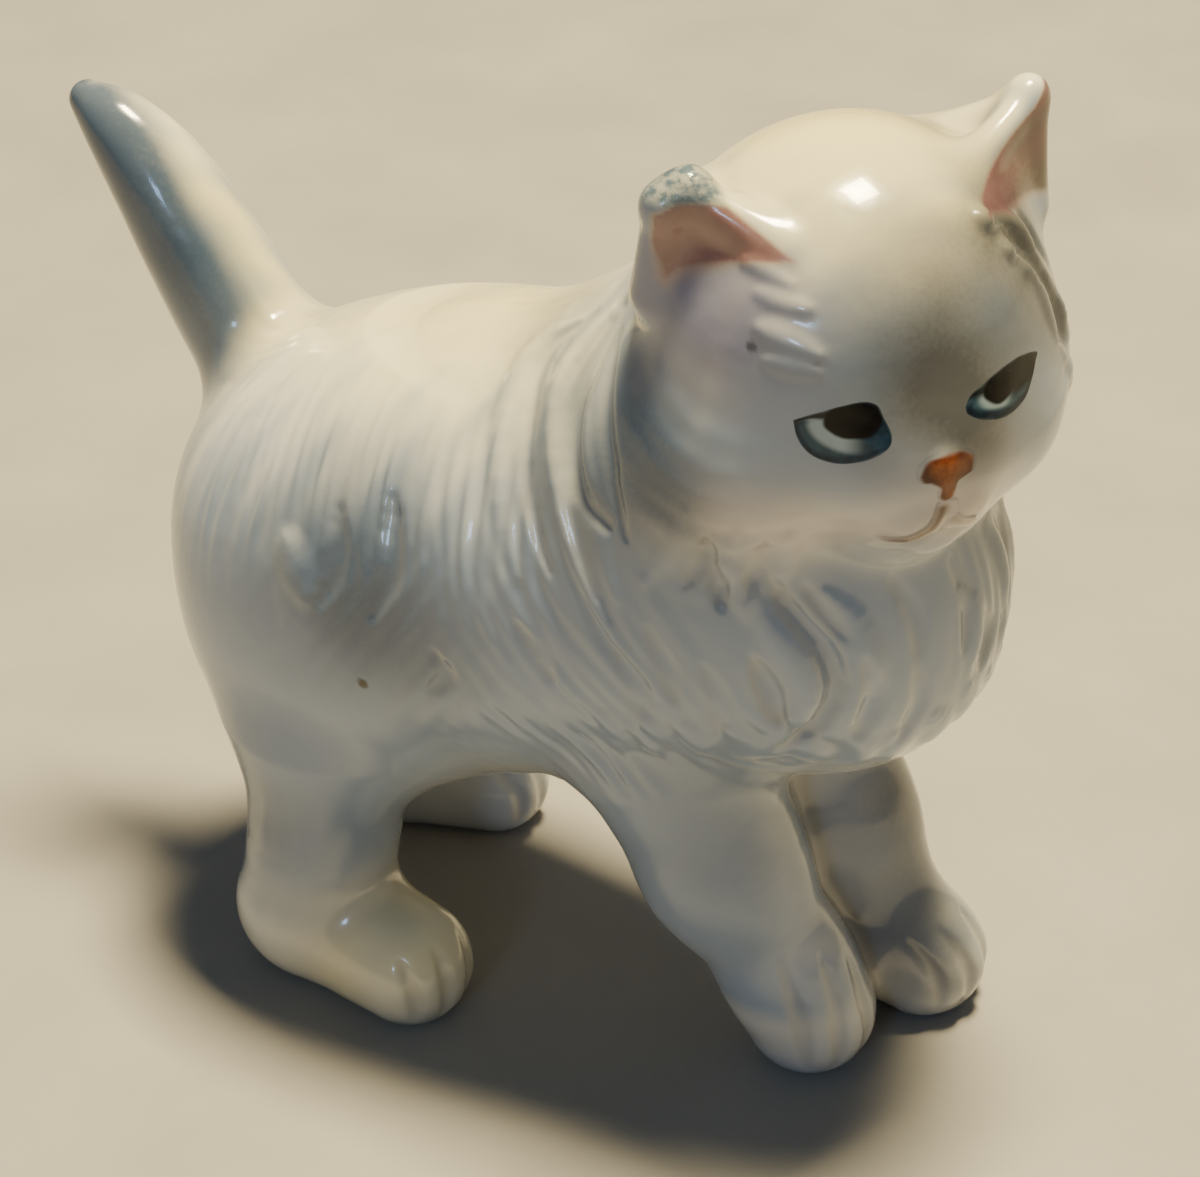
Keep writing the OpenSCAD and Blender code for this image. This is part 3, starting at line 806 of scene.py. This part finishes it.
def ripple(p, scale, seed):
    """Cheap smooth noise, about -1 to 1."""
    turn = np.random.default_rng(seed)
    total = np.zeros(len(p))
    for _ in range(6):
        way = turn.normal(size=3)
        way *= scale / np.linalg.norm(way) * turn.uniform(0.6, 1.6)
        total += np.sin(p @ way + turn.uniform(0, 6.28))
    return total / 3


def paint(p, n):
    """Masks for the glaze, at points with normals in modelling units."""
    wobble = np.stack([ripple(p, 0.5, s) for s in (1, 2, 3)], axis=1) * 1.2
    q = p + wobble
    h = to_head(p)
    facing = n @ HEAD[0]
    # Pink inside the ears; the left one is in the shade of its own rim, so it is painted duskier.
    pink, dusk = np.zeros(len(p)), np.zeros(len(p))
    for name, outline in EAR_INSIDES.items():
        fade, turned, ahead = EAR_PAINT[name]
        deep = inside_outline(h[:, 1], h[:, 2], outline)
        soft = 0.45 + fade * ramp(15, 11.5, h[:, 2])
        a, b, c = (np.array(spot, float) for spot in EARS[name][0][1:4])
        front = np.cross(b - a, c - a)
        front *= np.sign(front[0]) / np.linalg.norm(front)
        open_side = ramp(*turned, facing)
        reach = (h - a) @ front + ahead
        blush = ramp(-0.3 * soft, soft, deep) * open_side * ramp(0.1, 0.7, reach)
        pink = np.maximum(pink, blush)
        if name == "ear_left":
            dusk = blush * (0.45 + 0.5 * ramp(16, 11, h[:, 2]))
    # Slate on the tail's right and back, stronger towards the tip.
    tail_side = n @ TAIL_SLATE_SIDE
    along = ramp(56, 78, p[:, 2])
    tail = ramp(-0.7, -0.1, tail_side + 0.08 * ripple(p, 0.6, 4))
    tail *= ramp(-36, -42, p[:, 0]) * (0.25 + 0.75 * along)
    slate = 1 - (1 - spray(q, SLATE)) * (1 - tail)
    # Furrows: where the clay comes back within a short reach above the skin.
    hollow = np.clip(1 - clay.at(p + n * HOLLOW_REACH) / HOLLOW_REACH, -1, 1)
    # A thin streaky wash of painted cool shade, partly grey airbrush, on surfaces that face sideways,
    # left off the paws and the warm parts.
    streak = ripple(p * np.array([1, 1, 0.16]), 1.1, 9)
    side_shade_and_spray = ramp(0.92, 0.2, n[:, 2] + 0.13 * streak) * (1 - ramp(12, 8, p[:, 2]) * 0.6)
    side_shade_and_spray *= 0.25 + 0.75 * ramp(-0.95, -0.5, n[:, 2])
    side_shade_and_spray *= (1 - 0.85 * spray(q, WARM)) * (1 - pink) * (1 - spray(q, [LIT_HIND_PAW]))
    speck = np.zeros(len(p))
    for where, size, strength in SPECKS:
        spot = clay.settle(np.array([where]), 5)[0]
        away = np.linalg.norm(p - spot, axis=1)
        speck = np.maximum(speck, strength * ramp(1.15 * size, 0.6 * size, away))
    # Crawled glaze on the right ear's blunt tip.
    silver = ramp(18.4, 19.6, h[:, 2]) * ramp(-13.0, -14.5, h[:, 1]) * ramp(-6, -4, h[:, 0])
    # The cream mask is painted warm light, the wash painted cool shade, the dusk painted shade, and the
    # smoke partly painted shade.
    return {
        "spray_and_shade": np.stack([slate, spray(q, SMOKE_AND_SHADE), spray(q, LILAC) * (1 - pink), pink], axis=1),
        "spray_and_light": np.stack([spray(q, WARM), spray(q, TOP_LIGHT), silver, speck], axis=1),
        "relief_and_shade": np.stack([np.clip(hollow * 1.6, 0, 1), side_shade_and_spray, dusk, np.ones(len(p))], axis=1),
    }


def dress(thing, slot_masks=None):
    """Normals from the uncut clay and paint masks on to a piece's mesh."""
    mesh = thing.data
    count = len(mesh.vertices)
    spots = np.empty(count * 3)
    mesh.vertices.foreach_get("co", spots)
    p = unplace(spots.reshape(-1, 3))
    n = clay.outward(p, SKIN_REACH)
    corner = np.empty(len(mesh.loops), int)
    mesh.loops.foreach_get("vertex_index", corner)
    starts = np.empty(len(mesh.polygons), int)
    sizes = np.empty(len(mesh.polygons), int)
    flat = np.empty(len(mesh.polygons) * 3)
    mesh.polygons.foreach_get("loop_start", starts)
    mesh.polygons.foreach_get("loop_total", sizes)
    mesh.polygons.foreach_get("normal", flat)
    flat = np.repeat(flat.reshape(-1, 3), sizes, axis=0)
    on_top = (np.abs(clay.at(p)) < ON_SKIN)[corner] & ((n[corner] * flat).sum(1) > SAME_WAY)
    all_on = np.repeat(np.logical_and.reduceat(on_top, starts), sizes)
    normals = np.where(all_on[:, None], n[corner], flat)
    mesh.shade_smooth()
    mesh.normals_split_custom_set(normals.tolist())
    masks = paint(p, n)
    if slot_masks is not None:
        masks["enamel"] = slot_masks
    for name, values in masks.items():
        layer = mesh.attributes.new(name, "FLOAT_COLOR", "POINT")
        layer.data.foreach_set("color", values.astype(np.float32).ravel())


# ---------------------------------------------------------------- painted enamel: eyes, nose, mouth
# Face drawings are on a flat card 18 units ahead of the head's centre: x to the kitten's left, y up.
CARD = 18.0
# Enamel stands this deep in the clay at its root, and its edge lies this far under the skin.
ENAMEL_ROOT, ENAMEL_EDGE = 0.45, -0.06
EYE_OUTLINES = {
    "eye_right": [(-15.0, 1.2), (-12.6, 1.9), (-9.4, 2.6), (-6.8, 2.9), (-5.4, 2.4), (-4.9, 1.3),
                  (-4.3, -0.4), (-4.9, -1.6), (-7.2, -2.6), (-10.2, -3.1), (-12.8, -2.5), (-14.4, -0.9)],
    "eye_left": [(2.4, 0.5), (3.2, 1.3), (5.2, 1.9), (8.0, 2.4), (11.2, 2.4), (14.9, 1.5),
                 (14.2, 0.6), (12.6, -0.8), (10.4, -2.0), (7.2, -2.1), (4.2, -1.2), (2.6, -0.2)],
}
# Each pupil's middle and radii: x, y, across, up.
PUPILS = {"eye_right": (-7.9, 1.2, 3.0, 1.8), "eye_left": (6.9, 0.8, 2.3, 1.4)}
NOSE_OUTLINE = [(-2.2, -3.9), (-1.9, -3.1), (-1.0, -2.6), (0.0, -2.45), (1.0, -2.6), (1.9, -3.1),
                (2.2, -3.8), (2.0, -4.5), (1.3, -4.7), (0.7, -4.9), (0.55, -5.7), (0.3, -6.4),
                (-0.3, -6.6), (-0.7, -6.1), (-0.75, -5.1), (-1.3, -4.65), (-1.9, -4.5)]
NOSE_MIDDLE = (0.0, -4.0)
MOUTH_LINES = [
    [(0.0, -6.6), (-0.1, -8.0), (-0.7, -9.3), (-2.2, -10.6), (-4.6, -11.7), (-6.6, -12.0)],
    [(0.0, -8.6), (0.8, -9.8), (2.2, -10.4), (3.4, -10.4)],
]


def card_to_skin(x, y):
    """Points on the face behind points on the card."""
    d = turn_to_head(np.stack([np.full(len(x), CARD), x, y], axis=1))
    d /= np.linalg.norm(d, axis=1)[:, None]
    return clay.settle(walk_out(HEAD_CENTRE, d, 10, 34, 0.4), 2)


def enamel_piece(name, x, y, lift, faces, mask):
    """A thin closed skin of enamel: a lifted top and a buried underside sharing one rim."""
    p = card_to_skin(x, y)
    n = clay.outward(p, SKIN_REACH)
    top = p + n * lift[:, None]
    under = p - n * ENAMEL_ROOT
    count = len(p)
    edge_set = {(a, b) for face in faces for a, b in zip(face, face[1:] + face[:1])}
    rim = [(a, b) for a, b in edge_set if (b, a) not in edge_set]
    walls = [(b, a, a + count, b + count) for a, b in rim]
    lower = [tuple(i + count for i in reversed(face)) for face in faces]
    thing = mesh_object(name, place(np.concatenate([top, under])), list(faces) + lower + walls)
    dress(thing, np.concatenate([mask, mask]))
    return thing


def disc(outline, centre, spokes, rings):
    """Grid of a star-shaped outline: x, y, distance in from the edge (0 to 1), faces."""
    ring = curve(outline + outline[:1], spokes + 1)[:-1]
    if np.cross(ring[1] - ring[0], np.array(centre) - ring[0]) < 0:
        ring = ring[::-1]
    spots, inward = [np.array(centre)], [1.0]
    for i in range(1, rings + 1):
        s = i / rings
        spots += [np.array(centre) + (q - np.array(centre)) * s for q in ring]
        inward += [1 - s] * spokes
    faces = [(0, 1 + j, 1 + (j + 1) % spokes) for j in range(spokes)]
    for i in range(rings - 1):
        a, b = 1 + i * spokes, 1 + (i + 1) * spokes
        faces += [(a + j, b + j, b + (j + 1) % spokes, a + (j + 1) % spokes) for j in range(spokes)]
    spots = np.array(spots)
    return spots[:, 0], spots[:, 1], np.array(inward), faces


def eye(name):
    """One painted eye, with masks for its black, its blue ring, its outline and its pale iris."""
    outline = EYE_OUTLINES[name]
    side = -1 if name == "eye_right" else 1
    middle = np.mean(outline, axis=0)
    grown = [tuple(middle + (np.array(q) - middle) * 1.2) for q in outline]
    x, y, inward, faces = disc(grown, tuple(middle), 120, 44)
    deep = inside_outline(x, y, curve(outline + outline[:1], 72)[:-1])
    px, py, rx, ry = PUPILS[name]
    from_pupil = np.hypot((x - px) / rx, (y - py) / ry)
    out = side * (x - px) / rx
    rough = 0.05 * ripple(np.stack([x, y, x * 0], axis=1), 3.0, 7)
    shape = ramp(-0.36, 0.22, deep + rough)
    right = (x - px) / rx
    pupil = ramp(1.12, 0.92, from_pupil + rough) * ramp(-0.15, 0.2, deep)
    heavy = 1 if side > 0 else 0.35 + 0.65 * ramp(-1.9, -0.9, right)
    lid = ramp(1.15 * heavy, 0.6 * heavy, deep + rough) * ramp(-0.7, 0.1, y - py + 0.25 * out)
    corner = ramp(0.2, 0.9, right) * ramp(-2.3, -1.1, y - py) * (0.95 if side > 0 else 0)
    liner = ramp(1.1, 0.45, deep + rough * 2) * ramp(0.4, -0.6, y - py)
    smudge = ramp(-0.5, 0.5, right) * ramp(-0.2, -1.3, y - py) * (0.95 if side < 0 else 0.3)
    white, reach = (0.95, 1.9) if side < 0 else (0.6, 1.5)
    shine = white * ramp(reach, reach - 0.4, from_pupil) * ramp(-0.2, 0.7, -right - 0.4 * (y - py))
    halo = ramp(-1.2, 0.1, deep) * 0.5
    mask = np.stack([
        np.maximum.reduce([pupil, lid * 0.95, corner, liner * (0.55 if side > 0 else 0)]) * shape,
        np.clip(np.maximum(liner, smudge), 0, 1) * shape,
        shape,
        np.clip(shine, 0, 1),
    ], axis=1)
    mask[:, 1] = np.maximum(mask[:, 1], halo * (1 - shape) * ramp(0.6, -0.6, y - py))
    mask[:, 2] = np.maximum(mask[:, 2], halo * (1 - shape) * ramp(0.6, -0.6, y - py))
    return enamel_piece(name, x, y, ENAMEL_EDGE + 0.15 * ramp(0.06, 0.32, inward), faces, mask)


def nose():
    """The mushroom of orange-brown enamel, darker towards its edge."""
    grown = [(a * 1.25, (b + 4.3) * 1.2 - 4.3) for a, b in NOSE_OUTLINE]
    x, y, inward, faces = disc(grown, NOSE_MIDDLE, 96, 24)
    deep = inside_outline(x, y, curve(NOSE_OUTLINE + NOSE_OUTLINE[:1], 90)[:-1])
    card = np.stack([x, y, x * 0], axis=1)
    rough = 0.09 * ripple(card, 3.4, 11)
    shape = ramp(-0.22, 0.18, deep + rough)
    dark = np.clip(ramp(0.8, 0.2, deep) * 0.5 + 0.5 * ripple(card, 2.4, 12), 0, 1)
    mask = np.stack([dark, shape * 0, shape, shape * 0 + 1], axis=1)
    return enamel_piece("nose", x, y, ENAMEL_EDGE + 0.24 * ramp(0.0, 0.12, inward), faces, mask)


def mouth():
    """Two strokes of thin enamel; the paint lies on the bank of each furrow that faces the front."""
    spots, lifts, masks, faces = [], [], [], []
    across = np.linspace(-1, 1, 13)
    steps = 44
    for line, bank, depth in zip(MOUTH_LINES, (-0.4, 0.4), (1.0, 0.4)):
        path = curve(line, steps)
        run = np.gradient(path, axis=0)
        run /= np.linalg.norm(run, axis=1)[:, None]
        side = np.stack([-run[:, 1], run[:, 0]], axis=1)
        t = np.linspace(0, 1, steps)
        half = 0.45 + 0.75 * np.sin(np.sqrt(t) * math.pi) ** 0.8
        start = len(spots)
        for i in range(steps):
            painted = float(ramp(0, 0.1, t[i]) * ramp(1.02, 0.6, t[i]))
            ends = ramp(0, 0.04, t[i]) * ramp(1, 0.8, t[i])
            for s in across:
                spots.append(path[i] + side[i] * s * half[i])
                strength = depth * math.exp(-((s - bank) * 1.9) ** 2) * painted
                masks.append([0.5 * strength, 0, strength, 1])
                lifts.append(ENAMEL_EDGE + 0.32 * float(ramp(1, 0.75, abs(s)) * ends))
        for i in range(steps - 1):
            for j in range(len(across) - 1):
                a = start + i * len(across) + j
                faces.append((a, a + len(across), a + len(across) + 1, a + 1))
    spots = np.array(spots)
    return enamel_piece("mouth", spots[:, 0], spots[:, 1], np.array(lifts), faces, np.array(masks))


# ---------------------------------------------------------------- glaze
class Nodes:
    """Short hand for building a node tree."""

    def __init__(self, name):
        self.material = bpy.data.materials.new(name)
        self.material.use_nodes = True
        self.tree = self.material.node_tree
        self.shader = self.tree.nodes["Principled BSDF"]

    def add(self, kind, inputs=None, **settings):
        made = self.tree.nodes.new(kind)
        for key, value in settings.items():
            setattr(made, key, value)
        for key, value in (inputs or {}).items():
            self.feed(made.inputs[key], value)
        return made

    def feed(self, socket, value):
        if isinstance(value, bpy.types.NodeSocket):
            self.tree.links.new(value, socket)
        else:
            socket.default_value = value

    def noise(self, scale, detail=2.0, rough=0.5):
        coords = self.add("ShaderNodeTexCoord").outputs["Object"]
        return self.add("ShaderNodeTexNoise", {"Vector": coords, "Scale": scale, "Detail": detail,
                                               "Roughness": rough}).outputs["Fac"]

    def maths(self, operation, a, b=0.0, clamp=False):
        return self.add("ShaderNodeMath", {0: a, 1: b}, operation=operation, use_clamp=clamp).outputs[0]

    def spread(self, value, low, high, to_low, to_high):
        return self.add("ShaderNodeMapRange", {"Value": value, "From Min": low, "From Max": high,
                                               "To Min": to_low, "To Max": to_high}).outputs["Result"]

    def mix(self, factor, a, b):
        made = self.add("ShaderNodeMix", data_type="RGBA")
        self.feed(made.inputs["Factor"], factor)
        self.feed(made.inputs["A"], a)
        self.feed(made.inputs["B"], b)
        return made.outputs["Result"]

    def masks(self, name):
        made = self.add("ShaderNodeAttribute", attribute_name=name)
        split = self.add("ShaderNodeSeparateColor", {"Color": made.outputs["Color"]})
        return [*split.outputs, made.outputs["Alpha"]]


def tint(r, g, b):
    """A colour given as display values, made linear."""
    return tuple(((v / 255 + 0.055) / 1.055) ** 2.4 for v in (r, g, b)) + (1.0,)


def glaze(name, enamel=None, coat=0.5, shine=0.5):
    """Warm white glaze with airbrushed colour, painted warm light and painted shade under it; enamel
    adds the hard painted colours.
    """
    n = Nodes(name)
    slate, smoke_and_shade, lilac, pink = n.masks("spray_and_shade")
    warm, top_light, silver, speck = n.masks("spray_and_light")
    hollow, side_shade_and_spray, dusk, _ = n.masks("relief_and_shade")
    grain = n.noise(2600, 3, 0.6)
    cloud = n.noise(90, 2)
    fine = n.noise(700, 2)

    def sprayed(mask):
        """An airbrushed mask: broken into fine droplets where it is thin."""
        patchy = n.maths("MULTIPLY", mask, n.spread(cloud, 0.3, 0.7, 0.9, 1.12))
        droplets = n.spread(grain, 0.3, 0.7, -0.035, 0.035)
        speckled = n.maths("ADD", patchy, n.maths("MULTIPLY", droplets, mask))
        return n.maths("MULTIPLY", speckled, 1.0, clamp=True)

    colour = n.mix(n.spread(cloud, 0.3, 0.7, 0, 1), tint(232, 231, 227), tint(238, 236, 229))
    blush = n.mix(n.spread(fine, 0.3, 0.7, 0, 1), tint(124, 78, 82), tint(138, 94, 96))
    blush = n.mix(dusk, blush, tint(62, 48, 46))
    crawled = n.spread(n.noise(1500, 3), 0.4, 0.6, 0.6, 1)
    # Cream is painted warm light on the tops; the blue wash is painted cool shade on the sides, partly
    # grey airbrush; the smoke holds painted shade on the front left leg and paw.
    for mask, strength, over in [
        (top_light, 0.9, tint(246, 228, 150)),
        (side_shade_and_spray, 0.76, tint(100, 130, 170)),
        (sprayed(warm), 0.6, tint(226, 202, 186)),
        (hollow, 0.5, tint(176, 168, 152)),
        (sprayed(lilac), 0.8, tint(130, 124, 150)),
        (sprayed(slate), 0.96, tint(72, 88, 110)),
        (sprayed(smoke_and_shade), 0.92, tint(72, 70, 66)),
        (sprayed(pink), 0.9, blush),
        (silver, crawled, tint(92, 108, 120)),
    ]:
        colour = n.mix(n.maths("MULTIPLY", mask, strength), colour, over)
    if enamel:
        colour = enamel(n, colour)
    colour = n.mix(speck, colour, tint(24, 20, 18))
    n.feed(n.shader.inputs["Base Color"], colour)
    n.feed(n.shader.inputs["Roughness"], n.spread(fine, 0.3, 0.7, 0.16, 0.24))
    n.shader.inputs["Coat Weight"].default_value = coat
    n.shader.inputs["Coat Roughness"].default_value = 0.06
    n.shader.inputs["Specular IOR Level"].default_value = shine
    crust = n.maths("MULTIPLY", n.noise(1800, 2), n.spread(silver, 0, 1, 0.06, 1.6))
    dimples = n.add("ShaderNodeBump", {
        "Height": n.maths("ADD", n.noise(420, 1), crust), "Strength": 0.12, "Distance": 0.0006})
    n.feed(n.shader.inputs["Normal"], dimples.outputs["Normal"])
    return n.material


def eye_colours(n, glaze_colour):
    black, liner, shape, shine = n.masks("enamel")
    mottled = n.spread(n.noise(1400, 2), 0.3, 0.7, 0, 1)
    iris = n.mix(shine, n.mix(mottled, tint(62, 86, 100), tint(50, 72, 86)), tint(160, 176, 184))
    ring = n.mix(mottled, tint(24, 38, 50), tint(36, 58, 80))
    inked = n.mix(liner, iris, ring)
    inked = n.mix(black, inked, n.mix(mottled, tint(10, 9, 9), tint(18, 16, 15)))
    return n.mix(shape, glaze_colour, inked)


def nose_colours(n, glaze_colour):
    dark, _, shape, _ = n.masks("enamel")
    mottled = n.spread(n.noise(1900, 3), 0.35, 0.65, 0, 1)
    ochre = n.mix(mottled, tint(144, 80, 38), tint(118, 60, 28))
    return n.mix(shape, glaze_colour, n.mix(dark, ochre, tint(78, 36, 20)))


def mouth_colours(n, glaze_colour):
    dark, _, shape, _ = n.masks("enamel")
    mottled = n.spread(n.noise(1900, 3), 0.35, 0.65, 0, 1)
    line = n.mix(mottled, tint(104, 66, 56), tint(78, 46, 40))
    return n.mix(shape, glaze_colour, n.mix(dark, line, tint(60, 34, 28)))


body_glaze = glaze("glazed_body")
pieces["eye_right"], pieces["eye_left"] = eye("eye_right"), eye("eye_left")
pieces["nose"], pieces["mouth"] = nose(), mouth()
enamels = {
    "eye_right": (glaze("eye_enamel", eye_colours, 0.05, 0.25), "eye_enamel"),
    "nose": (glaze("nose_enamel", nose_colours, 0.2, 0.35), "nose_enamel"),
    "mouth": (glaze("mouth_enamel", mouth_colours), "nose_enamel"),
}
enamels["eye_left"] = enamels["eye_right"]
for name, piece in pieces.items():
    material, slot = enamels.get(name, (body_glaze, "glazed_body"))
    piece.data.materials.clear()
    piece.data.materials.append(material)
    if name not in enamels:
        dress(piece)
    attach(piece, "root")
    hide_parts(name)

# ---------------------------------------------------------------- floor, light
FLOOR_HALF = 2
floor = mesh_object("floor", [(x * FLOOR_HALF, y * FLOOR_HALF, 0) for x, y in (
    (-1, -1), (1, -1), (1, 1), (-1, 1))], [(0, 1, 2, 3)])
table = Nodes("table")
weave = table.noise(60, 4)
table.feed(table.shader.inputs["Base Color"], table.mix(
    table.spread(weave, 0.3, 0.7, 0, 1), tint(156, 151, 144), tint(164, 159, 151)))
table.feed(table.shader.inputs["Roughness"], table.spread(weave, 0.3, 0.7, 0.55, 0.7))
floor.data.materials.append(table.material)


LIT_POINT = Vector((0, 0, 0.04))


def area_light(name, turn, rise, far, size, power, colour):
    """A soft square light aimed at the kitten; turn is measured like the camera's azimuth."""
    data = bpy.data.lights.new(name, "AREA")
    data.size = size
    data.energy = power
    data.color = colour
    lamp = bpy.data.objects.new(name, data)
    scene.collection.objects.link(lamp)
    a, e = math.radians(turn), math.radians(rise)
    way = Vector((math.sin(a) * math.cos(e), -math.cos(a) * math.cos(e), math.sin(e)))
    lamp.location = LIT_POINT + way * far
    lamp.rotation_mode = "QUATERNION"
    lamp.rotation_quaternion = (-way).to_track_quat("-Z", "Y")


area_light("key", turn=158, rise=81, far=0.9, size=0.2, power=29, colour=(1.0, 0.85, 0.50))
area_light("fill", turn=6, rise=22, far=1.1, size=0.14, power=1.1, colour=(0.42, 0.64, 1.0))
world = bpy.data.worlds.new("studio")
scene.world = world
world.use_nodes = True
sky = world.node_tree.nodes["Background"]
sky.inputs["Color"].default_value = (0.72, 0.84, 1.0, 1)
sky.inputs["Strength"].default_value = 0.115
